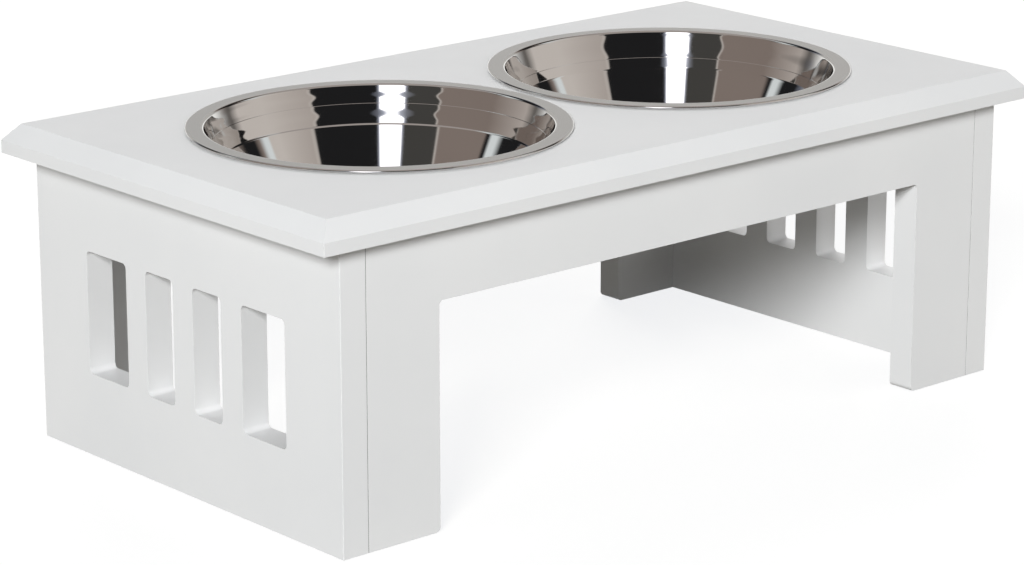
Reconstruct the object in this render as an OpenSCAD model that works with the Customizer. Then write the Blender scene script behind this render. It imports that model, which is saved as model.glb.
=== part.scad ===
// Raised feeding stand: a painted board stand with two steel bowls that drop into its top.
// Sizes are in millimetres. The floor is z = 0, X runs along the stand, and its front faces -Y.

/* [Bowls] */
// Outside diameter of the rolled rim
rim_d = 179; // [150:1:215]
// Gap between the two rims
rim_gap = 5; // [3:1:40]
// Width of the flat flange, from the rim's edge to the mouth
flange_w = 8.5; // [6:0.5:14]
// Height of the rim above the board
rim_h = 1.5; // [1.2:0.1:3]
// Thickness of the steel
bowl_wall = 0.8; // [0.5:0.1:1]
// Depth of the bowl below the top of its rim
bowl_depth = 46; // [38:1:60]
// Radius over which the flange turns down into the wall
mouth_r = 1.5; // [1.2:0.1:3]
// Depth of the crease ring in the left bowl
left_ring_depth = 18; // [10:1:24]
// Depth of the crease ring in the right bowl
right_ring_depth = 18; // [10:1:24]
// Width of the crease ring
ring_w = 0.6; // [0.3:0.1:1.5]
// Lean of the wall above the ring, in degrees from upright
upper_lean = 20; // [5:1:25]
// Lean of the wall below the ring, in degrees from upright
lower_lean = 26; // [5:1:32]
// Radius between the wall and the base
base_r = 16; // [6:1:18]
// Play around the bowl in its hole
hole_play = 1.2; // [0.6:0.1:3]

/* [Top board] */
// Board left beyond the rims at each end
end_margin = 38.5; // [34:0.5:70]
// Board left beyond the rims at the front and back
side_margin = 30.5; // [26:0.5:60]
// Thickness of the top board
board_t = 14; // [12:0.5:20]
// Height of the board's top face above the floor
stand_h = 153; // [130:1:260]
// Height of the chamfer along the top edges
chamfer_h = 8; // [2:0.5:10]
// Run of the chamfer, measured across the board
chamfer_run = 7; // [2:0.5:10]
// Rounding of the board's upright corners
corner_r = 0.3; // [0.3:0.1:6]

/* [Panels] */
// Thickness of the side panels
side_t = 14; // [13:0.5:18]
// Thickness of the front and back panels
front_t = 14; // [13:0.5:18]
// Overhang of the top board past the side panels
end_overhang = 14; // [4:0.5:18]
// Overhang of the top board past the front and back panels
front_overhang = 7.5; // [4:0.5:14]
// Width of each leg of the front and back panels
leg_w = 40.5; // [36:0.5:70]
// Height of the apron above the opening
apron_h = 33.5; // [20:0.5:60]
// Rounding of the upper corners of the opening
opening_r = 2; // [1:0.5:20]
// Rounding of the legs' inner lower corners
foot_r = 2.5; // [0.5:0.5:8]
// Rounding of the side panels' outer upright edges
edge_r = 0.3; // [0.3:0.1:4]
// Rounding of the upright edges that meet at a seam
seam_r = 0.3; // [0.2:0.1:1.5]

/* [Slots] */
// Board left above and below the slots
slot_rail = 40; // [34:0.5:50]
// Width of the two inner slots of a side panel
inner_slot_w = 20.6; // [10:0.2:26]
// Width of the two outer slots of a side panel
outer_slot_w = 30.8; // [10:0.2:36]
// Width of the bars between the slots
slot_gap = 15; // [8:0.2:20]
// Corner radius of the slots
slot_r = 2.5; // [1:0.1:5]

/* [Fittings] */
// Diameter of the cam discs
cam_d = 15; // [13:0.5:16]
// Thickness of the cam discs
cam_h = 10.6; // [9:0.2:11.4]
// Depth of a cam disc's face below the panel's face
cam_recess = 0.2; // [0.1:0.1:0.5]
// Distance from a panel's edge to the middle of its cam discs
cam_reach = 24; // [22:0.5:26]
// Radius of the hollow inside a cam disc
cam_hollow_r = 4.8; // [4.2:0.1:5.4]
// Distance of the top cam discs from the side panel's upright edges
top_cam_inset = 26.5; // [26:0.5:30]
// Length of the cross slot in a cam disc
cross_l = 7; // [5:0.5:9]
// Width of the cross slot
cross_w = 1.4; // [1:0.1:2]
// Depth of the cross slot
cross_depth = 1.5; // [0.8:0.1:2]
// Diameter of the cam bolts' thread
thread_d = 5; // [4:0.5:6]
// Length of the cam bolts' thread
thread_l = 10; // [8:0.5:11]
// Diameter of the cam bolts' shank
shank_d = 6; // [5:0.5:7]
// Diameter of the collar that seats on the drilled face
collar_d = 7.6; // [7:0.1:8.4]
// Thickness of the collar
collar_l = 2; // [1:0.5:3]
// Diameter of the neck that passes into the cam disc
neck_d = 3.4; // [2.8:0.1:4]
// Diameter of the cam bolts' head
head_d = 6.4; // [5.6:0.1:7]
// Length of the cam bolts' head
head_l = 4; // [3:0.5:5]
// Diameter of the wooden dowels
dowel_d = 6; // [5:0.5:8]
// Length of the wooden dowels
dowel_l = 24; // [20:1:30]
// Depth of a dowel in the face that it stands on
dowel_sink = 9; // [7:0.5:10]
// Chamfer at the ends of the dowels
dowel_chamfer = 1; // [0.5:0.1:1.5]
// Height of the lower dowels at the corners
dowel_low_z = 25; // [16:1:34]
// Rise from the lower to the upper dowels at the corners
dowel_rise = 45; // [12:1:48]
// Distance of the side panels' top dowels from the middle
top_dowel_y = 45; // [20:1:60]
// Distance of the aprons' top dowels from the middle
apron_dowel_x = 130; // [60:1:150]
// Radial play of dowels, bolts and cam discs in their holes
fit_play = 0.05; // [0.02:0.01:0.1]
// Play past the ends of dowels, bolts and cam discs
end_play = 0.4; // [0.2:0.1:0.8]
// Play of the cam bolts' head and neck inside the cam disc
cam_play = 0.3; // [0.2:0.1:0.5]

/* [Hidden] */
$fn = 96;

left = -1;
right = 1;
front = -1;
back = 1;

paint = "whitesmoke";
steel = "silver";
zinc = "lightsteelblue";
beech = "burlywood";

// Cuts run this far past the face that they open
overcut = 1;

bowl_pitch = rim_d + rim_gap;
rim_r = rim_h / 2;
// Lean of the ledge in the crease ring, and facets of the bends at the mouth and the base
ledge_lean = 45;
mouth_steps = 5;
base_steps = 8;
mouth_radius = rim_d / 2 - flange_w;
hole_d = 2 * (mouth_radius + bowl_wall + hole_play);

board_l = 2 * rim_d + rim_gap + 2 * end_margin;
board_w = rim_d + 2 * side_margin;
panel_h = stand_h - board_t;
body_l = board_l - 2 * end_overhang;
body_w = board_w - 2 * front_overhang;

// Inner face of the left panel, and the middles of the panels' thickness, from the stand's middle
inner_x = body_l / 2 - side_t;
side_mid_x = body_l / 2 - side_t / 2;
front_mid_y = body_w / 2 - front_t / 2;

opening_w = 2 * (inner_x - leg_w);
opening_h = panel_h - apron_h;

slot_h = panel_h - 2 * slot_rail;
inner_slot_y = (slot_gap + inner_slot_w) / 2;
outer_slot_y = slot_gap * 1.5 + inner_slot_w + outer_slot_w / 2;

corner_cam_z = [panel_h - cam_reach];
corner_dowel_z = [dowel_low_z, dowel_low_z + dowel_rise];
top_cam_y = [-1, 1] * (body_w / 2 - top_cam_inset);
bolt_bore_d = collar_d + 2 * cam_play;
head_x = cam_reach - sqrt(pow(cam_hollow_r, 2) - pow(head_d / 2, 2)) + 2 * fit_play;
neck_x = cam_reach - cam_d / 2 - cam_play;

// Plane outlines

// What a rounded corner of radius r leaves of a square corner at the origin
module corner_waste(r) {
    difference() {
        translate([-overcut, -overcut]) square(r + overcut);
        translate([r, r]) circle(r);
    }
}

// Rectangle from the origin, with a radius for each corner, counted anticlockwise from the origin
module round_plan(size, radii) {
    difference() {
        square(size);
        if (radii[0] > 0) corner_waste(radii[0]);
        if (radii[1] > 0) translate([size.x, 0]) rotate(90) corner_waste(radii[1]);
        if (radii[2] > 0) translate(size) rotate(180) corner_waste(radii[2]);
        if (radii[3] > 0) translate([0, size.y]) rotate(270) corner_waste(radii[3]);
    }
}

// Section of the top board: flat below, a low upright lip and a chamfer above
module board_section(width) {
    half = width / 2;
    polygon([
        [-half, panel_h], [half, panel_h],
        [half, stand_h - chamfer_h], [half - chamfer_run, stand_h],
        [chamfer_run - half, stand_h], [-half, stand_h - chamfer_h]
    ]);
}

// Doorway of the front and back panels, with rounded head and eased feet
module opening_outline() {
    difference() {
        translate([-opening_w / 2, -overcut]) square([opening_w, opening_h + overcut]);
        translate([opening_w / 2, opening_h]) rotate(180) corner_waste(opening_r);
        translate([-opening_w / 2, opening_h]) rotate(270) corner_waste(opening_r);
    }
    translate([opening_w / 2, 0]) corner_waste(foot_r);
    translate([-opening_w / 2, 0]) rotate(90) corner_waste(foot_r);
}

// One slot of a side panel, standing on the lower rail
module slot_outline(middle, width) {
    r = min(slot_r, width / 2 - fit_play);
    translate([middle - width / 2, slot_rail]) round_plan([width, slot_h], [r, r, r, r]);
}

// Places

// Mirrors what is drawn for the left front to another side of the stand
module at_side(side_x, side_y) {
    mirror([side_x == right ? 1 : 0, 0, 0]) mirror([0, side_y == back ? 1 : 0, 0]) children();
}

// Upright corner joints: +X runs from the side panel into the front panel, +Y to its inner face
module at_corner(side_x, side_y, heights) {
    at_side(side_x, side_y) for (z = heights) translate([-inner_x, -front_mid_y, z]) children();
}

// Top joints of a side panel: +X runs from the board down into the panel, +Y to its inner face
module at_side_top(side_x, places) {
    at_side(side_x, front) for (y = places)
        translate([-side_mid_x, y, panel_h]) rotate([90, 90, 0]) children();
}

// Top joints of the front or back panel: +X runs from the board down into the apron
module at_apron_top(side_y) {
    at_side(left, side_y) for (x = [-1, 1] * apron_dowel_x)
        translate([x, -front_mid_y, panel_h]) rotate([0, 90, 0]) children();
}

// Fittings, each along +X from the joint's face at the origin

module rod(from, to, d) {
    translate([from, 0, 0]) rotate([0, 90, 0]) cylinder(d = d, h = to - from);
}

// Turned piece, from a half section of [radius, place along X]
module turned(section) {
    rotate([0, 90, 0]) rotate_extrude() polygon(section);
}

module dowel() {
    start = -dowel_sink;
    end = dowel_l - dowel_sink;
    tip_r = dowel_d / 2 - dowel_chamfer;
    turned([
        [0, start], [tip_r, start], [dowel_d / 2, start + dowel_chamfer],
        [dowel_d / 2, end - dowel_chamfer], [tip_r, end], [0, end]
    ]);
}

module dowel_face_hole() {
    rod(-dowel_sink - end_play, overcut, dowel_d + 2 * fit_play);
}

module dowel_edge_hole() {
    rod(-overcut, dowel_l - dowel_sink + end_play, dowel_d + 2 * fit_play);
}

module cam_bolt() {
    head_end = head_x + head_l;
    turned([
        [0, -thread_l], [thread_d / 2, -thread_l], [thread_d / 2, 0],
        [collar_d / 2, 0], [collar_d / 2, collar_l], [shank_d / 2, collar_l], [shank_d / 2, neck_x],
        [neck_d / 2, neck_x], [neck_d / 2, head_x], [head_d / 2, head_x], [head_d / 2, head_end],
        [0, head_end]
    ]);
}

module cam_bolt_pilot() {
    rod(-thread_l - end_play, overcut, thread_d + 2 * fit_play);
}

// Cylinder sunk along -Y from the height top, at the middle of the cam disc
module sunk_cylinder(top, depth, d) {
    translate([cam_reach, top, 0]) rotate([90, 0, 0]) cylinder(d = d, h = depth);
}

// Cam disc in a panel of thickness t: hollow below, with a narrow way for the neck towards the bolt
// and a wide way for the head at right angles to it
module cam_disc(t) {
    face = t / 2 - cam_recess;
    head_top = head_d / 2 + cam_play;
    neck_top = neck_d / 2 + cam_play;
    difference() {
        sunk_cylinder(face, cam_h, cam_d);
        sunk_cylinder(head_top, cam_h + overcut, 2 * cam_hollow_r);
        translate([cam_reach - cam_d, neck_top - cam_h - overcut, -neck_top])
            cube([cam_d, cam_h + overcut, 2 * neck_top]);
        translate([cam_reach - head_top, head_top - cam_h - overcut, 0])
            cube([2 * head_top, cam_h + overcut, cam_d]);
        for (turn = [0, 90]) translate([cam_reach, face, 0]) rotate([0, turn, 0])
            cube([cross_l, 2 * cross_depth, cross_w], center = true);
    }
}

// Holes in the panel that holds the cam disc: a bore for the bolt and a pocket for the disc
module cam_holes(t) {
    rod(-overcut, head_x + head_l + end_play, bolt_bore_d);
    sunk_cylinder(t / 2 + overcut, overcut + cam_recess + cam_h + end_play, cam_d + 2 * fit_play);
}

// Boards

module side_panel(side_x) {
    color(paint) at_side(side_x, front) difference() {
        translate([-body_l / 2, -body_w / 2, 0]) linear_extrude(panel_h)
            round_plan([side_t, body_w], [edge_r, seam_r, seam_r, edge_r]);
        translate([-body_l / 2 - overcut, 0, 0]) rotate([90, 0, 90])
            linear_extrude(side_t + 2 * overcut) for (side_y = [front, back]) {
                slot_outline(side_y * inner_slot_y, inner_slot_w);
                slot_outline(side_y * outer_slot_y, outer_slot_w);
            }
        for (side_y = [front, back]) {
            at_corner(left, side_y, corner_cam_z) cam_bolt_pilot();
            at_corner(left, side_y, corner_dowel_z) dowel_face_hole();
        }
        at_side_top(left, top_cam_y) cam_holes(side_t);
        at_side_top(left, [-1, 1] * top_dowel_y) dowel_edge_hole();
    }
}

module cross_panel(side_y) {
    color(paint) at_side(left, side_y) difference() {
        translate([-inner_x, -body_w / 2, 0]) linear_extrude(panel_h)
            round_plan([2 * inner_x, front_t], [seam_r, seam_r, 0, 0]);
        translate([0, overcut + front_t - body_w / 2, 0]) rotate([90, 0, 0])
            linear_extrude(front_t + 2 * overcut) opening_outline();
        for (side_x = [left, right]) {
            at_corner(side_x, front, corner_cam_z) cam_holes(front_t);
            at_corner(side_x, front, corner_dowel_z) dowel_edge_hole();
        }
        at_apron_top(front) dowel_edge_hole();
    }
}

module top_board() {
    color(paint) difference() {
        intersection() {
            translate([-board_l / 2, -board_w / 2, panel_h]) linear_extrude(board_t)
                round_plan([board_l, board_w], [corner_r, corner_r, corner_r, corner_r]);
            rotate([90, 0, 0]) linear_extrude(board_w + 2 * overcut, center = true) board_section(board_l);
            rotate([90, 0, 90]) linear_extrude(board_l + 2 * overcut, center = true) board_section(board_w);
        }
        for (side_x = [left, right]) {
            translate([side_x * bowl_pitch / 2, 0, panel_h - overcut])
                cylinder(d = hole_d, h = board_t + 2 * overcut);
            at_side_top(side_x, top_cam_y) cam_bolt_pilot();
            at_side_top(side_x, [-1, 1] * top_dowel_y) dowel_face_hole();
        }
        for (side_y = [front, back]) at_apron_top(side_y) dowel_face_hole();
    }
}

module left_side_panel() { side_panel(left); }
module right_side_panel() { side_panel(right); }
module front_panel() { cross_panel(front); }
module back_panel() { cross_panel(back); }

// Bowls

// A station of the bowl's section is [radius, depth, lean]: a point of its inner face and the
// lean of the steel there, 0 where it stands upright and 90 where it lies flat
function outward(lean) = [cos(lean), sin(lean)];
function station(point, lean) = [point.x, point.y, lean];
function bend(centre, r, leans) = [for (a = leans) station(centre + r * outward(a), a)];
function steps(from, to, count) = [for (i = [0 : count]) from + (to - from) * i / count];

function bowl_stations(ring_depth) =
    let (
        mouth_tangent = mouth_r * tan((90 - upper_lean) / 2),
        mouth_centre = [mouth_radius + mouth_tangent, mouth_r],
        ring_top = [mouth_radius - ring_depth * tan(upper_lean), ring_depth],
        ring_foot = ring_top + [-ring_w, ring_w],
        base_corner = [ring_foot.x - (bowl_depth - ring_foot.y) * tan(lower_lean), bowl_depth],
        base_tangent = base_r * tan((90 - lower_lean) / 2),
        base_centre = [base_corner.x - base_tangent, bowl_depth - base_r]
    )
    concat(
        [station([rim_d / 2 - rim_r, 0], 90)],
        bend(mouth_centre, -mouth_r, steps(90, upper_lean, mouth_steps)),
        [station(ring_top, (upper_lean + ledge_lean) / 2)],
        [station(ring_foot, (ledge_lean + lower_lean) / 2)],
        bend(base_centre, base_r, steps(lower_lean, 90, base_steps)),
        [station([0, bowl_depth], 90)]
    );

// Half section of a bowl about its axis: a skin of even thickness, and a rolled rim with a flat foot
module bowl_section(ring_depth) {
    stations = bowl_stations(ring_depth);
    inner = [for (s = stations) [s[0], -s[1]]];
    outer = [for (s = stations) let (n = bowl_wall * outward(s[2])) [s[0] + n.x, -s[1] - n.y]];
    last = len(stations) - 1;
    polygon(concat(inner, [for (i = [last : -1 : 0]) [i == last ? 0 : outer[i].x, outer[i].y]]));
    translate([rim_d / 2 - rim_r, -rim_r]) circle(rim_r);
    translate([rim_d / 2 - 1.5 * rim_r, -rim_h]) square(rim_r);
}

module bowl(side_x, ring_depth) {
    color(steel) translate([side_x * bowl_pitch / 2, 0, stand_h + rim_h])
        rotate_extrude() bowl_section(ring_depth);
}

module left_bowl() { bowl(left, left_ring_depth); }
module right_bowl() { bowl(right, right_ring_depth); }

// Fittings in their places

module corner_cam_bolt(side_x, side_y) {
    color(zinc) at_corner(side_x, side_y, corner_cam_z) cam_bolt();
}

module corner_cam_disc(side_x, side_y) {
    color(zinc) at_corner(side_x, side_y, corner_cam_z) cam_disc(front_t);
}

module corner_dowels(side_x, side_y) {
    color(beech) at_corner(side_x, side_y, corner_dowel_z) dowel();
}

module top_cam_bolts(side_x) { color(zinc) at_side_top(side_x, top_cam_y) cam_bolt(); }
module top_cam_discs(side_x) { color(zinc) at_side_top(side_x, top_cam_y) cam_disc(side_t); }
module top_dowels(side_x) { color(beech) at_side_top(side_x, [-1, 1] * top_dowel_y) dowel(); }
module apron_dowels(side_y) { color(beech) at_apron_top(side_y) dowel(); }

top_board();
left_side_panel();
right_side_panel();
front_panel();
back_panel();
left_bowl();
right_bowl();
corner_cam_bolt(left, front);  // front_left_cam_bolt
corner_cam_bolt(right, front);  // front_right_cam_bolt
corner_cam_bolt(left, back);  // back_left_cam_bolt
corner_cam_bolt(right, back);  // back_right_cam_bolt
corner_cam_disc(left, front);  // front_left_cam_disc
corner_cam_disc(right, front);  // front_right_cam_disc
corner_cam_disc(left, back);  // back_left_cam_disc
corner_cam_disc(right, back);  // back_right_cam_disc
corner_dowels(left, front);  // front_left_dowels
corner_dowels(right, front);  // front_right_dowels
corner_dowels(left, back);  // back_left_dowels
corner_dowels(right, back);  // back_right_dowels
top_cam_bolts(left);  // left_top_cam_bolts
top_cam_bolts(right);  // right_top_cam_bolts
top_cam_discs(left);  // left_top_cam_discs
top_cam_discs(right);  // right_top_cam_discs
top_dowels(left);  // left_top_dowels
top_dowels(right);  // right_top_dowels
apron_dowels(front);  // front_apron_dowels
apron_dowels(back);  // back_apron_dowels
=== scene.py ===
"""Looks of the dog feeder stand.

Painted boards, polished bowls, a white studio and the camera of the photograph.
"""
import math

import bpy
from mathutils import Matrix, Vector


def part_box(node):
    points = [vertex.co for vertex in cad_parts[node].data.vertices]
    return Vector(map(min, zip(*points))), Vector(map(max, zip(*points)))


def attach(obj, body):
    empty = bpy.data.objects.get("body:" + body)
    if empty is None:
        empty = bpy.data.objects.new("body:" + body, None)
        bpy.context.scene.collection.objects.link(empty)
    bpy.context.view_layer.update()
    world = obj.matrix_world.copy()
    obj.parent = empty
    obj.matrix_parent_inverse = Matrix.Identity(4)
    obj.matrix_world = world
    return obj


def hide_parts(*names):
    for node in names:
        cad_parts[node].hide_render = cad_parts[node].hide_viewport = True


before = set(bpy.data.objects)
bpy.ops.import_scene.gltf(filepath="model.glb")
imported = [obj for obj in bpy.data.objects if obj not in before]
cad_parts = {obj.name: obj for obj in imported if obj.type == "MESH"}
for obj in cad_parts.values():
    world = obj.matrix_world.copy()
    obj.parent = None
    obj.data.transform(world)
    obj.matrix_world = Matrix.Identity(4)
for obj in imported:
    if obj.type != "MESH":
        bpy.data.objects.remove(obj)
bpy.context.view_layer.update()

MM = 0.001
BLACK = (0.0, 0.0, 0.0)
WHITE = (1.0, 1.0, 1.0)

# Camera, as fitted to the corners of the boards and the rims of the bowls
CAMERA_PLACE = Vector((-1096.05, -1233.56, 536.63)) * MM
CAMERA_YAW = 41.338
CAMERA_PITCH = 16.095
CAMERA_LENS = 124.82
SENSOR_WIDTH = 36.0

# Bowls, in millimetres, with leans in degrees from upright
RIM_STEP = 0.5
RIM_HEIGHT = 1.5
FLANGE_WIDTH = 8.5
STEEL_THICKNESS = 0.8
BOWL_DEPTH = 46.0
MOUTH_BEND = 1.5
RING_DEPTH = 18.0
RING_WIDTH = 0.6
UPPER_LEAN = 20.0
LOWER_LEAN = 26.0
BASE_BEND = 16.0
MARK_BEND = 0.1

# What turning left in each bowl: a fine mark, the lean of the upper wall, the lean and bend of the crease
# ring, and waves along the upper wall, which fade towards its ends by a power of a sine
TURNING = {
    "left_bowl": {"mark_depth": 8.8, "mark_width": 0.14, "upper_lean": UPPER_LEAN, "ring_lean": 45.0,
                  "ring_bend": 0.7, "wave_height": -0.057, "wave_fade": 2},
    "right_bowl": {"mark_depth": 13.0, "mark_width": 0.12, "upper_lean": 18.8, "ring_lean": 27.6,
                   "ring_bend": 4.0, "wave_height": 0.04, "wave_fade": 0},
}
WAVE_LENGTH = 11.0

# How finely the bowls are turned: steps round the axis, along a wave and along a bend, and the degrees of
# the rolled rim from below the flange round the outside to the top
LATHE_STEPS = 320
WAVE_STEPS = 16
FEWEST_BEND_STEPS = 6
BEND_STEP = 4.0
RIM_ARC = range(190, 450, 10)

# Limits that tell the parts of a bowl's section: what bends by less is straight, what leans nearly as the
# upper wall does belongs to it, and what lies nearly flat near the top is the flange
STRAIGHT_LIMIT = 0.01
UPPER_LEAN_LIMIT = 2.0
FLANGE_LEAN = 89.0
FLANGE_DEPTH = 1.0

# Tent round the stand that the steel mirrors, as colours by bearing from the camera in degrees:
# a dark opening round the camera, grey walls, and soft boxes higher up
TENT_RADIUS = 4.0
TENT_ROWS = 24
TENT_COLUMNS = 48
TENT_BACK = (0.54, 0.53, 0.51)
TENT_LIGHT = (0.50, 0.45, 0.415)
TENT_SHADE = (0.26, 0.213, 0.19)
TENT_WEDGE = (0.16, 0.148, 0.138)
TENT_EDGE = (0.66, 0.61, 0.57)
TENT_DARK = (0.016, 0.016, 0.017)
TENT_DUSK = (0.066, 0.064, 0.060)
TENT_HAZE = (0.15, 0.16, 0.195)
TENT_GLOW = (0.44, 0.47, 0.56)
TENT_STRIP = (2.2, 2.2, 2.3)
TENT_BOX = (0.80, 0.85, 0.86)
TENT_SWEEP = (1.2, 1.2, 1.18)
TENT_TOP = (0.42, 0.38, 0.36)
OPENING_STOPS = [
    (-42.0, TENT_SHADE), (-41.0, TENT_EDGE), (-39.5, TENT_DUSK), (-9.0, TENT_DUSK), (-6.0, TENT_DARK),
    (48.0, TENT_DARK), (49.5, TENT_EDGE), (51.5, TENT_LIGHT),
]
LOW_STOPS = [
    (-180.0, TENT_BACK), (-162.0, TENT_BACK), (-150.0, TENT_WEDGE), (-138.0, TENT_WEDGE),
    (-128.0, TENT_LIGHT), (-92.0, TENT_SHADE), *OPENING_STOPS, (100.0, TENT_EDGE), (128.0, TENT_EDGE),
    (138.0, TENT_WEDGE), (150.0, TENT_WEDGE), (162.0, TENT_BACK), (180.0, TENT_BACK),
]
HIGH_STOPS = [
    (-180.0, TENT_BACK), (-158.0, TENT_BACK), (-145.0, TENT_HAZE), (-134.0, TENT_DARK), (-108.0, TENT_DARK),
    (-98.0, TENT_BOX), (-90.0, TENT_BOX), (-86.0, TENT_DARK), (-83.5, TENT_DARK), (-80.0, TENT_SHADE),
    *OPENING_STOPS, (78.0, TENT_EDGE), (90.0, TENT_EDGE), (93.0, TENT_BOX), (99.0, TENT_BOX),
    (107.0, TENT_SHADE), (116.0, TENT_DARK), (136.0, TENT_DARK), (146.0, TENT_SHADE), (158.0, TENT_BACK),
    (180.0, TENT_BACK),
]

# How the tent's walls change with height, in degrees: what they show widens round the camera by a share per
# degree, and the high stops take over above an edge, given as (bearing, height), that sinks to the back
WIDENING = 0.02
WIDENING_MIDDLE = 24.0
WIDENING_SPAN = 6.0
ZONE_FRONT = (45.0, 31.0)
ZONE_SIDE = (90.0, 22.3)
ZONE_BACK = (150.0, 3.2)
ZONE_BLUR = 1.8

# The bright strip near the camera: its bearing, its half width and the fade of its edges at two heights,
# in degrees, and its colours from the core to the end of the fade
STRIP_BEARING = -7.75
STRIP_HEIGHTS = (23.5, 27.0)
STRIP_HALF_WIDTHS = (1.5, 8.6)
STRIP_FADES = (15.0, 3.0)
STRIP_STOPS = [(0.0, TENT_STRIP), (0.3, TENT_GLOW), (0.6, TENT_HAZE), (1.0, BLACK)]

# Where the bright sweep low at the back of the tent and its plain top begin and end, in degrees
SWEEP_BEARINGS = (125.0, 150.0)
SWEEP_HEIGHTS = (7.0, 11.0)
TOP_HEIGHTS = (45.0, 53.0)

# Soft boxes round the stand: name, bearing from the front towards the left and height in degrees,
# side in metres, power in watts and colour
LAMP_DISTANCE = 5.0
LAMP_AIM = Vector((0.0, 0.0, 0.08))
LAMPS = (
    ("key_light", 54.0, 23.5, 1.3, 266.0, (0.985, 1.0, 1.01)),
    ("fill_light", -45.0, 20.0, 3.2, 75.0, WHITE),
    ("back_light", -141.0, 35.0, 3.2, 171.0, WHITE),
)
WORLD_LIGHT = 0.04

# Floor, in metres: a square just below the stand's feet, whose glow goes to white between two distances
FLOOR_HALF = 12.0
FLOOR_DROP = 0.3 * MM
FLOOR_TONE = (0.25, 0.236, 0.205)
FLOOR_GLOW = (0.82, 0.83, 0.85)
FLOOR_BLEND = (1.6, 4.0)

# Soft edges of the painted boards: what bends by less than the flat angle is one face, and what bends by
# more than the edge angle, in degrees, is rounded
BOARDS = ("top_board", "left_side_panel", "right_side_panel", "front_panel", "back_panel")
EDGE_SOFTNESS = 0.3 * MM
EDGE_STEPS = 3
EDGE_ANGLE = 30.0
WELD_DISTANCE = 0.01 * MM
FLAT_ANGLE = 0.5

# Painted shadow in the seam where two boards meet, a dark strip for the shade in its gap: its width at each
# end of the stand, depth below the face and thickness
JOINT_WIDTHS = {"left": 0.16 * MM, "right": 0.06 * MM}
JOINT_DEPTH = 0.04 * MM
JOINT_THICKNESS = 0.06 * MM

# Where the dark and the light tone of a mottled material stand on its noise
MOTTLE_ENDS = (0.3, 0.7)


# Nodes

def feed(tree, socket, value):
    """Gives an input socket a number, a colour or the output of another node."""
    if isinstance(value, float):
        socket.default_value = value
    elif isinstance(value, tuple):
        socket.default_value = (*value, 1.0)
    else:
        tree.links.new(value, socket)


def add_node(tree, kind, **values):
    """A new node, with settings and inputs given by name."""
    node = tree.nodes.new(kind)
    for key, value in values.items():
        if hasattr(node, key):
            setattr(node, key, value)
        else:
            feed(tree, node.inputs[key.replace("_", " ")], value)
    return node


def object_place(tree):
    return add_node(tree, "ShaderNodeTexCoord").outputs["Object"]


def distance(tree, place):
    return add_node(tree, "ShaderNodeVectorMath", operation="LENGTH", Vector=place).outputs["Value"]


def noise(tree, place, scale, detail=4.0, roughness=0.5):
    node = add_node(tree, "ShaderNodeTexNoise", Vector=place, Scale=scale, Detail=detail,
                    Roughness=roughness)
    return node.outputs["Fac"]


def calculate(tree, operation, *values):
    """Result of a math operation on numbers and outputs."""
    node = add_node(tree, "ShaderNodeMath", operation=operation)
    for socket, value in zip(node.inputs, values):
        feed(tree, socket, value)
    return node.outputs["Value"]


def remap(tree, value, start, end):
    """Straight line from one (value, result) point to another, level beyond them."""
    node = add_node(tree, "ShaderNodeMapRange", Value=value, From_Min=start[0], To_Min=start[1],
                    From_Max=end[0], To_Max=end[1])
    return node.outputs["Result"]


def ramp(tree, factor, stops):
    """Colour ramp over factor, from (place, colour) stops."""
    node = add_node(tree, "ShaderNodeValToRGB", Fac=factor)
    elements = node.color_ramp.elements
    while len(elements) < len(stops):
        elements.new(1.0)
    for element, (place, colour) in zip(elements, stops):
        element.position = place
        element.color = (*colour, 1.0)
    return node.outputs["Color"]


def mottle(tree, factor, dark, light):
    """Colour between two tones by a noise."""
    return ramp(tree, factor, list(zip(MOTTLE_ENDS, (dark, light))))


def blend(tree, share, first, second, kind="MIX"):
    """First colour with a share of the second."""
    node = add_node(tree, "ShaderNodeMixRGB", blend_type=kind, Fac=share, Color1=first, Color2=second)
    return node.outputs["Color"]


def bump(tree, height, depth, strength):
    """Normal of a surface with a relief of the given depth in metres."""
    node = add_node(tree, "ShaderNodeBump", Height=height, Distance=depth, Strength=strength)
    return node.outputs["Normal"]


def seen_ray(tree):
    """1 on rays that see the studio itself, straight or in a mirror, and 0 on rays that carry light."""
    path = add_node(tree, "ShaderNodeLightPath").outputs
    seen = calculate(tree, "MAXIMUM", path["Is Camera Ray"], path["Is Glossy Ray"])
    return calculate(tree, "MAXIMUM", seen, path["Is Transmission Ray"])


# Materials

def new_material(name):
    """A material and its empty node tree."""
    material = bpy.data.materials.new(name)
    material.use_nodes = True
    material.node_tree.nodes.clear()
    return material, material.node_tree


def add_surface(tree, **inputs):
    """Principled shader with the given inputs, as the surface of the tree's material."""
    shader = add_node(tree, "ShaderNodeBsdfPrincipled", **inputs)
    add_node(tree, "ShaderNodeOutputMaterial", Surface=shader.outputs["BSDF"])


def paint_material():
    """Sprayed satin white on fibreboard: even tone, faint orange peel."""
    material, tree = new_material("white_satin_paint")
    place = object_place(tree)
    peel = noise(tree, place, scale=650.0, detail=2.0)
    add_surface(
        tree,
        Base_Color=mottle(tree, noise(tree, place, scale=14.0, detail=5.0),
                          dark=(0.775, 0.777, 0.780), light=(0.805, 0.805, 0.805)),
        Roughness=remap(tree, noise(tree, place, scale=90.0), (0.0, 0.36), (1.0, 0.46)),
        Specular_IOR_Level=0.3,
        Normal=bump(tree, peel, depth=0.06 * MM, strength=0.35),
    )
    return material


# Painted shade: the dark strips in the seams stand for the shadow between boards
def joint_shadow_material():
    """Painted shade: dark colour in place of the shadow in the gap of a closed joint."""
    material, tree = new_material("joint_shade")
    grain = noise(tree, object_place(tree), scale=500.0)
    add_surface(
        tree,
        Base_Color=mottle(tree, grain, dark=(0.05, 0.048, 0.045), light=(0.09, 0.086, 0.08)),
        Roughness=0.9,
        Specular_IOR_Level=0.0,
    )
    return material


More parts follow.
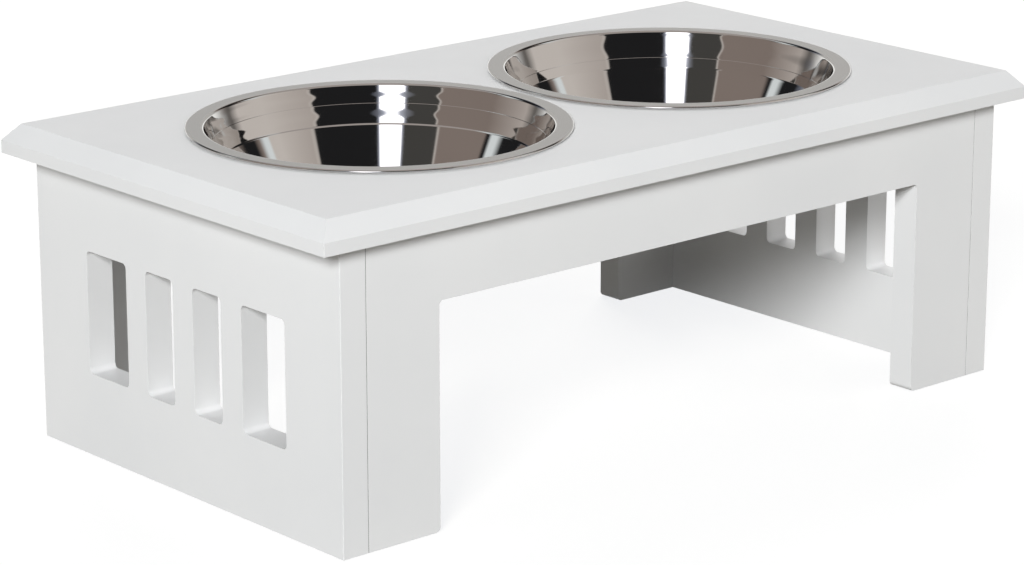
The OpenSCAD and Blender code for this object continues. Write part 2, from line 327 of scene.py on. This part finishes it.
def polished_material():
    """Mirror-polished stainless steel, a little uneven in tone and polish."""
    material, tree = new_material("polished_steel")
    place = object_place(tree)
    add_surface(
        tree,
        Base_Color=mottle(tree, noise(tree, place, scale=30.0),
                          dark=(0.70, 0.69, 0.68), light=(0.73, 0.72, 0.71)),
        Metallic=1.0,
        Roughness=remap(tree, noise(tree, place, scale=60.0), (0.0, 0.03), (1.0, 0.06)),
    )
    return material


def satin_material():
    """Stainless steel with fine turned lines, which change with the distance from the axis alone."""
    material, tree = new_material("satin_steel")
    place = add_node(tree, "ShaderNodeSeparateXYZ", Vector=object_place(tree)).outputs
    flat = add_node(tree, "ShaderNodeCombineXYZ", X=place["X"], Y=place["Y"])
    radius = distance(tree, flat.outputs["Vector"])
    along = add_node(tree, "ShaderNodeCombineXYZ", X=radius)
    lines = noise(tree, along.outputs["Vector"], scale=2600.0, detail=3.0)
    add_surface(
        tree,
        Base_Color=mottle(tree, lines, dark=(0.64, 0.635, 0.63), light=(0.71, 0.705, 0.70)),
        Metallic=1.0,
        Roughness=remap(tree, lines, (0.0, 0.24), (1.0, 0.36)),
        Normal=bump(tree, lines, depth=0.01 * MM, strength=0.4),
    )
    return material


def zinc_material():
    """Zinc-plated die casting."""
    material, tree = new_material("zinc_plate")
    grain = noise(tree, object_place(tree), scale=900.0)
    add_surface(
        tree,
        Base_Color=mottle(tree, grain, dark=(0.55, 0.57, 0.60), light=(0.66, 0.68, 0.70)),
        Metallic=1.0,
        Roughness=remap(tree, grain, (0.0, 0.30), (1.0, 0.45)),
        Normal=bump(tree, grain, depth=0.04 * MM, strength=0.4),
    )
    return material


def beech_material():
    """Bare beech with fine dark flecks."""
    material, tree = new_material("bare_beech")
    grain = noise(tree, object_place(tree), scale=420.0, detail=6.0, roughness=0.65)
    add_surface(
        tree,
        Base_Color=mottle(tree, grain, dark=(0.52, 0.34, 0.19), light=(0.70, 0.51, 0.32)),
        Roughness=remap(tree, grain, (0.0, 0.55), (1.0, 0.7)),
        Normal=bump(tree, grain, depth=0.08 * MM, strength=0.5),
    )
    return material


def floor_material():
    """White floor, with a glow that only shows and lights nothing."""
    material, tree = new_material("white_floor")
    away = distance(tree, object_place(tree))
    far = remap(tree, away, (FLOOR_BLEND[0], 0.0), (FLOOR_BLEND[1], 1.0))
    add_surface(
        tree,
        Base_Color=FLOOR_TONE,
        Roughness=0.9,
        Specular_IOR_Level=0.0,
        Emission_Color=ramp(tree, far, [(0.0, FLOOR_GLOW), (1.0, WHITE)]),
        Emission_Strength=seen_ray(tree),
    )
    return material


# Tent cloth

def colours_round(tree, place, stops):
    """Colours by bearing, where place goes from 0 to 1 over a full turn."""
    return ramp(tree, place, [((degrees + 180.0) / 360.0, colour) for degrees, colour in stops])


def tent_walls(tree, bearing, height):
    """Walls of the tent: the low stops below the zones' edge and the high stops above it."""
    above = remap(tree, height, (WIDENING_MIDDLE - WIDENING_SPAN, -WIDENING_SPAN),
                  (WIDENING_MIDDLE + WIDENING_SPAN, WIDENING_SPAN))
    narrowing = calculate(tree, "SUBTRACT", 1.0, calculate(tree, "MULTIPLY", above, WIDENING))
    place = remap(tree, calculate(tree, "MULTIPLY", bearing, narrowing), (-180.0, 0.0), (180.0, 1.0))
    aside = calculate(tree, "ABSOLUTE", bearing)
    front_edge = remap(tree, aside, ZONE_FRONT, ZONE_SIDE)
    back_edge = remap(tree, aside, ZONE_SIDE, ZONE_BACK)
    edge = calculate(tree, "ADD", front_edge, calculate(tree, "SUBTRACT", back_edge, ZONE_SIDE[1]))
    upper = remap(tree, calculate(tree, "SUBTRACT", height, edge), (-ZONE_BLUR, 0.0), (ZONE_BLUR, 1.0))
    return blend(tree, upper, colours_round(tree, place, LOW_STOPS), colours_round(tree, place, HIGH_STOPS))


def tent_strip(tree, bearing, height):
    """Light of the bright strip, which is added to the walls."""
    half_width = remap(tree, height, *zip(STRIP_HEIGHTS, STRIP_HALF_WIDTHS))
    fade = remap(tree, height, *zip(STRIP_HEIGHTS, STRIP_FADES))
    from_middle = calculate(tree, "ABSOLUTE", calculate(tree, "SUBTRACT", bearing, STRIP_BEARING))
    past_core = calculate(tree, "SUBTRACT", from_middle, half_width)
    return ramp(tree, calculate(tree, "DIVIDE", past_core, fade), STRIP_STOPS)


def sweep_share(tree, bearing, height):
    """1 in the bright sweep low at the back of the tent, and 0 away from it."""
    aside = calculate(tree, "ABSOLUTE", bearing)
    behind = remap(tree, aside, (SWEEP_BEARINGS[0], 0.0), (SWEEP_BEARINGS[1], 1.0))
    low = remap(tree, height, (SWEEP_HEIGHTS[0], 1.0), (SWEEP_HEIGHTS[1], 0.0))
    return calculate(tree, "MULTIPLY", behind, low)


def tent_colour(tree):
    """Colour of the tent by bearing and height, from its object coordinates."""
    place = add_node(tree, "ShaderNodeSeparateXYZ", Vector=object_place(tree)).outputs
    bearing = calculate(tree, "DEGREES", calculate(tree, "ARCTAN2", place["Y"], place["X"]))
    rise = calculate(tree, "ARCSINE", calculate(tree, "DIVIDE", place["Z"], TENT_RADIUS))
    height = calculate(tree, "DEGREES", rise)
    walls = tent_walls(tree, bearing, height)
    lit = blend(tree, 1.0, walls, tent_strip(tree, bearing, height), kind="ADD")
    swept = blend(tree, sweep_share(tree, bearing, height), lit, TENT_SWEEP)
    top = remap(tree, height, (TOP_HEIGHTS[0], 0.0), (TOP_HEIGHTS[1], 1.0))
    return blend(tree, top, swept, TENT_TOP)


def tent_material():
    """Cloth that glows in the tent's colours."""
    material, tree = new_material("tent_cloth")
    glow = add_node(tree, "ShaderNodeEmission", Color=tent_colour(tree))
    add_node(tree, "ShaderNodeOutputMaterial", Surface=glow.outputs["Emission"])
    return material


# Objects

def add_object(name, data):
    """A new object in the scene."""
    added = bpy.data.objects.new(name, data)
    bpy.context.scene.collection.objects.link(added)
    return added


# Bowls

def outward(lean):
    """Direction out of the steel, as (radius, depth), where it leans by lean degrees from upright."""
    angle = math.radians(lean)
    return math.cos(angle), math.sin(angle)


def inset(lean):
    """Radius that a wall leaning by lean degrees loses for each millimetre of depth."""
    return math.tan(math.radians(lean))


def bent_path(corners):
    """Stations (radius, depth, lean) along corners (radius, depth, bend radius), with arcs at the bends."""
    leans = [math.degrees(math.atan2(a[0] - b[0], b[1] - a[1])) for a, b in zip(corners, corners[1:])]
    stations = [(corners[0][0], corners[0][1], leans[0])]
    for (radius, depth, bend), before, after in zip(corners[1:-1], leans, leans[1:]):
        turn = after - before
        side = 1.0 if turn > 0 else -1.0
        tangent = bend * math.tan(math.radians(abs(turn) / 2))
        out_r, out_d = outward(before)
        start = (radius + tangent * out_d, depth - tangent * out_r)
        centre = (start[0] - side * bend * out_r, start[1] - side * bend * out_d)
        count = max(FEWEST_BEND_STEPS, round(abs(turn) / BEND_STEP))
        for i in range(count + 1):
            lean = before + turn * i / count
            out_r, out_d = outward(lean)
            stations.append((centre[0] + side * bend * out_r, centre[1] + side * bend * out_d, lean))
    stations.append((corners[-1][0], corners[-1][1], leans[-1]))
    return stations


def spun(stations, wave_height, wave_fade):
    """The stations again, with the faint waves that spinning leaves along the upper wall."""
    waved = []
    for (radius, depth, lean), (next_radius, next_depth, next_lean) in zip(stations, stations[1:]):
        waved.append((radius, depth, lean))
        length = math.hypot(next_radius - radius, next_depth - depth)
        waves = round(length / WAVE_LENGTH)
        bends = abs(next_lean - lean) > STRAIGHT_LIMIT
        if bends or abs(lean - UPPER_LEAN) > UPPER_LEAN_LIMIT or waves == 0:
            continue
        out_r, out_d = outward(lean)
        count = waves * WAVE_STEPS
        for i in range(1, count):
            part = i / count
            phase = 2 * math.pi * waves * part
            fade = math.sin(math.pi * part) ** wave_fade
            lift = wave_height * fade * math.sin(phase)
            slope = wave_height * fade * math.cos(phase) * 2 * math.pi * waves / length
            waved.append((radius + (next_radius - radius) * part + lift * out_r,
                          depth + (next_depth - depth) * part + lift * out_d,
                          lean - math.degrees(math.atan(slope))))
    waved.append(stations[-1])
    return waved


def bowl_corners(rim_radius, turning):
    """Corners (radius, depth, bend radius) of a bowl's inside, from the top of the rim to the axis."""
    mouth = rim_radius - FLANGE_WIDTH
    upper_run = RING_DEPTH * inset(UPPER_LEAN) + RING_WIDTH
    lower_run = (BOWL_DEPTH - RING_DEPTH - RING_WIDTH) * inset(LOWER_LEAN)
    mark_depth = turning["mark_depth"]
    mark_width = turning["mark_width"]
    mark_radius = mouth - mark_depth * inset(turning["upper_lean"])
    ring_radius = mouth - RING_DEPTH * inset(turning["upper_lean"])
    ring_foot = RING_DEPTH + RING_WIDTH / inset(turning["ring_lean"])
    return [
        (rim_radius - RIM_HEIGHT / 2, 0.0, 0.0),
        (mouth, 0.0, MOUTH_BEND),
        (mark_radius, mark_depth, MARK_BEND),
        (mark_radius - mark_width, mark_depth + mark_width, MARK_BEND),
        (ring_radius, RING_DEPTH, turning["ring_bend"]),
        (ring_radius - RING_WIDTH, ring_foot, turning["ring_bend"]),
        (mouth - upper_run - lower_run, BOWL_DEPTH, BASE_BEND),
        (0.0, BOWL_DEPTH, 0.0),
    ]


def bowl_section(rim_radius, turning):
    """Closed half section as (radius, height, normal, satin) rows: rolled rim, inside, then outside."""
    corners = bowl_corners(rim_radius, turning)
    inside = spun(bent_path(corners), turning["wave_height"], turning["wave_fade"])
    bead = RIM_HEIGHT / 2
    rows = []
    for degrees in RIM_ARC:
        angle = math.radians(degrees)
        normal = (math.cos(angle), math.sin(angle))
        rows.append((rim_radius - bead + bead * normal[0], -bead + bead * normal[1], normal, False))
    for radius, depth, lean in inside:
        out_r, out_d = outward(lean)
        on_flange = lean > FLANGE_LEAN and depth < FLANGE_DEPTH
        rows.append((radius, -depth, (-out_r, out_d), on_flange))
    for radius, depth, lean in reversed(inside[1:]):
        out_r, out_d = outward(lean)
        reach = radius + STEEL_THICKNESS * out_r if radius > 0.0 else 0.0
        rows.append((reach, -depth - STEEL_THICKNESS * out_d, (out_r, -out_d), True))
    return rows


def lathe(name, rows):
    """Mesh turned from closed section rows about its own Z axis, with exact normals."""
    vertices = []
    normals = []
    rings = []
    for radius, height, (normal_r, normal_z), _ in rows:
        ring = []
        for i in range(LATHE_STEPS if radius > 0.0 else 1):
            turn = 2 * math.pi * i / LATHE_STEPS
            cosine = math.cos(turn)
            sine = math.sin(turn)
            ring.append(len(vertices))
            vertices.append((radius * cosine * MM, radius * sine * MM, height * MM))
            normals.append((normal_r * cosine, normal_r * sine, normal_z))
        rings.append(ring)
    faces = []
    satin_faces = []
    satin_rows = [satin for *_, satin in rows]
    for k, ring in enumerate(rings):
        after = (k + 1) % len(rings)
        following = rings[after]
        for i in range(LATHE_STEPS):
            j = (i + 1) % LATHE_STEPS
            corners = [ring[i % len(ring)], ring[j % len(ring)],
                       following[j % len(following)], following[i % len(following)]]
            face = list(dict.fromkeys(corners))
            if len(face) > 2:
                faces.append(face)
                satin_faces.append(satin_rows[k] and satin_rows[after])
    mesh = bpy.data.meshes.new(name)
    mesh.from_pydata(vertices, [], faces)
    for polygon, is_satin in zip(mesh.polygons, satin_faces):
        polygon.material_index = 1 if is_satin else 0
        polygon.use_smooth = True
    mesh.normals_split_custom_set_from_vertices(normals)
    return mesh


def make_bowl(node, polished, satin):
    """Turned bowl in place of the solid one, with the radius of its faceted rim rounded to RIM_STEP."""
    low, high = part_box(node)
    rim_radius = round((high[0] - low[0]) / 2 / MM / RIM_STEP) * RIM_STEP
    mesh = lathe(node + "_turned", bowl_section(rim_radius, TURNING[node]))
    mesh.materials.append(polished)
    mesh.materials.append(satin)
    bowl = add_object(node + "_turned", mesh)
    bowl.location = ((low[0] + high[0]) / 2, (low[1] + high[1]) / 2, high[2])
    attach(bowl, node)
    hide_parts(node)


# Boards and fittings

def dress(node, material):
    """Gives a solid its material."""
    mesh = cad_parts[node].data
    mesh.materials.clear()
    mesh.materials.append(material)


def soften(node):
    """Rounds a board's edges as sanding and paint do."""
    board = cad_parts[node]
    weld = board.modifiers.new("weld", "WELD")
    weld.merge_threshold = WELD_DISTANCE
    flat = board.modifiers.new("flat", "DECIMATE")
    flat.decimate_type = "DISSOLVE"
    flat.angle_limit = math.radians(FLAT_ANGLE)
    round_over = board.modifiers.new("round_over", "BEVEL")
    round_over.width = EDGE_SOFTNESS
    round_over.segments = EDGE_STEPS
    round_over.limit_method = "ANGLE"
    round_over.angle_limit = math.radians(EDGE_ANGLE)
    round_over.use_clamp_overlap = True
    normals = board.modifiers.new("normals", "WEIGHTED_NORMAL")
    normals.keep_sharp = False


def make_seam_shadow_strip(name, spans, material):
    """Thin dark block in the seam between two boards, a painted shadow of its gap, from its spans along x,
    y and z.
    """
    corners = [(x, y, z) for z in spans[2] for y in spans[1] for x in spans[0]]
    faces = [(0, 2, 3, 1), (4, 5, 7, 6), (0, 1, 5, 4), (2, 6, 7, 3), (0, 4, 6, 2), (1, 3, 7, 5)]
    mesh = bpy.data.meshes.new(name)
    mesh.from_pydata(corners, [], faces)
    mesh.materials.append(material)
    line = add_object(name, mesh)
    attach(line, "stand")


def make_seam_shadow_strips(node, outer, inward, material):
    """A painted shadow line at each end of a front or back panel, just below its outer face.

    Outer says which corner of the panel's box lies on that face, and inward is the way into the panel.
    """
    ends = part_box(node)
    near = ends[outer][1] + inward * JOINT_DEPTH
    depths = sorted((near, near + inward * JOINT_THICKNESS))
    heights = (ends[0][2], ends[1][2])
    for (side, width), end in zip(JOINT_WIDTHS.items(), ends):
        widths = (end[0] - width / 2, end[0] + width / 2)
        make_seam_shadow_strip(f"{node}_{side}_painted_seam_shadow", (widths, depths, heights), material)


# Studio

def make_camera():
    """The photograph's camera, turned to the right by its yaw and down by its pitch."""
    data = bpy.data.cameras.new("camera")
    data.sensor_fit = "HORIZONTAL"
    data.sensor_width = SENSOR_WIDTH
    data.lens = CAMERA_LENS
    camera = add_object("camera", data)
    camera.location = CAMERA_PLACE
    camera.rotation_euler = (math.radians(90 - CAMERA_PITCH), 0.0, math.radians(-CAMERA_YAW))
    bpy.context.scene.camera = camera


def make_world():
    """World that looks white and gives a little even light."""
    world = bpy.data.worlds.new("studio")
    bpy.context.scene.world = world
    world.use_nodes = True
    tree = world.node_tree
    tree.nodes.clear()
    light = add_node(tree, "ShaderNodeBackground", Color=WHITE, Strength=WORLD_LIGHT)
    shown = add_node(tree, "ShaderNodeBackground", Color=WHITE, Strength=1.0)
    mix = add_node(tree, "ShaderNodeMixShader", Fac=seen_ray(tree))
    feed(tree, mix.inputs[1], light.outputs["Background"])
    feed(tree, mix.inputs[2], shown.outputs["Background"])
    add_node(tree, "ShaderNodeOutputWorld", Surface=mix.outputs["Shader"])


def make_floor():
    """Square floor under the stand."""
    mesh = bpy.data.meshes.new("floor")
    corners = [(x * FLOOR_HALF, y * FLOOR_HALF, 0.0) for x, y in ((-1, -1), (1, -1), (1, 1), (-1, 1))]
    mesh.from_pydata(corners, [], [(0, 1, 2, 3)])
    mesh.materials.append(floor_material())
    floor = add_object("floor", mesh)
    floor.location.z = -FLOOR_DROP


def make_tent():
    """Studio tent, half a sphere that only reflections see."""
    vertices = []
    for i in range(TENT_ROWS + 1):
        rise = math.pi / 2 * i / TENT_ROWS
        radius = TENT_RADIUS * math.cos(rise)
        height = TENT_RADIUS * math.sin(rise)
        for j in range(TENT_COLUMNS):
            turn = 2 * math.pi * j / TENT_COLUMNS
            vertices.append((radius * math.cos(turn), radius * math.sin(turn), height))
    faces = []
    for i in range(TENT_ROWS):
        lower = i * TENT_COLUMNS
        upper = lower + TENT_COLUMNS
        for j in range(TENT_COLUMNS):
            k = (j + 1) % TENT_COLUMNS
            faces.append((lower + j, lower + k, upper + k, upper + j))
    mesh = bpy.data.meshes.new("tent")
    mesh.from_pydata(vertices, [], faces)
    mesh.materials.append(tent_material())
    tent = add_object("tent", mesh)
    tent.rotation_euler.z = math.atan2(CAMERA_PLACE.y, CAMERA_PLACE.x)
    for kind in ("camera", "diffuse", "shadow", "transmission", "volume_scatter"):
        setattr(tent, "visible_" + kind, False)


def make_lamp(name, bearing, height, side, power, colour):
    """Soft box that lights the stand and shows in nothing."""
    data = bpy.data.lights.new(name, "AREA")
    data.size = side
    data.energy = power
    data.color = colour
    lamp = add_object(name, data)
    turn = math.radians(bearing)
    rise = math.radians(height)
    away = Vector((-math.cos(rise) * math.sin(turn), -math.cos(rise) * math.cos(turn), math.sin(rise)))
    lamp.location = LAMP_AIM + away * LAMP_DISTANCE
    lamp.rotation_euler = (-away).to_track_quat("-Z", "Y").to_euler()
    lamp.visible_camera = False
    lamp.visible_glossy = False


# The stand, dressed

paint = paint_material()
joint_shade = joint_shadow_material()
polished_steel = polished_material()
satin_steel = satin_material()
zinc = zinc_material()
beech = beech_material()

for node in BOARDS:
    dress(node, paint)
    soften(node)
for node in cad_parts:
    if node.endswith("dowels"):
        dress(node, beech)
    elif "_cam_" in node:
        dress(node, zinc)
for node in TURNING:
    make_bowl(node, polished_steel, satin_steel)
# Painted shadow: a dark strip in each seam where the front and back panels meet the side panels
make_seam_shadow_strips("front_panel", outer=0, inward=1, material=joint_shade)
make_seam_shadow_strips("back_panel", outer=1, inward=-1, material=joint_shade)


# The studio round it

make_camera()
make_world()
make_floor()
make_tent()
for lamp in LAMPS:
    make_lamp(*lamp)
bpy.context.scene.view_settings.view_transform = "Standard"
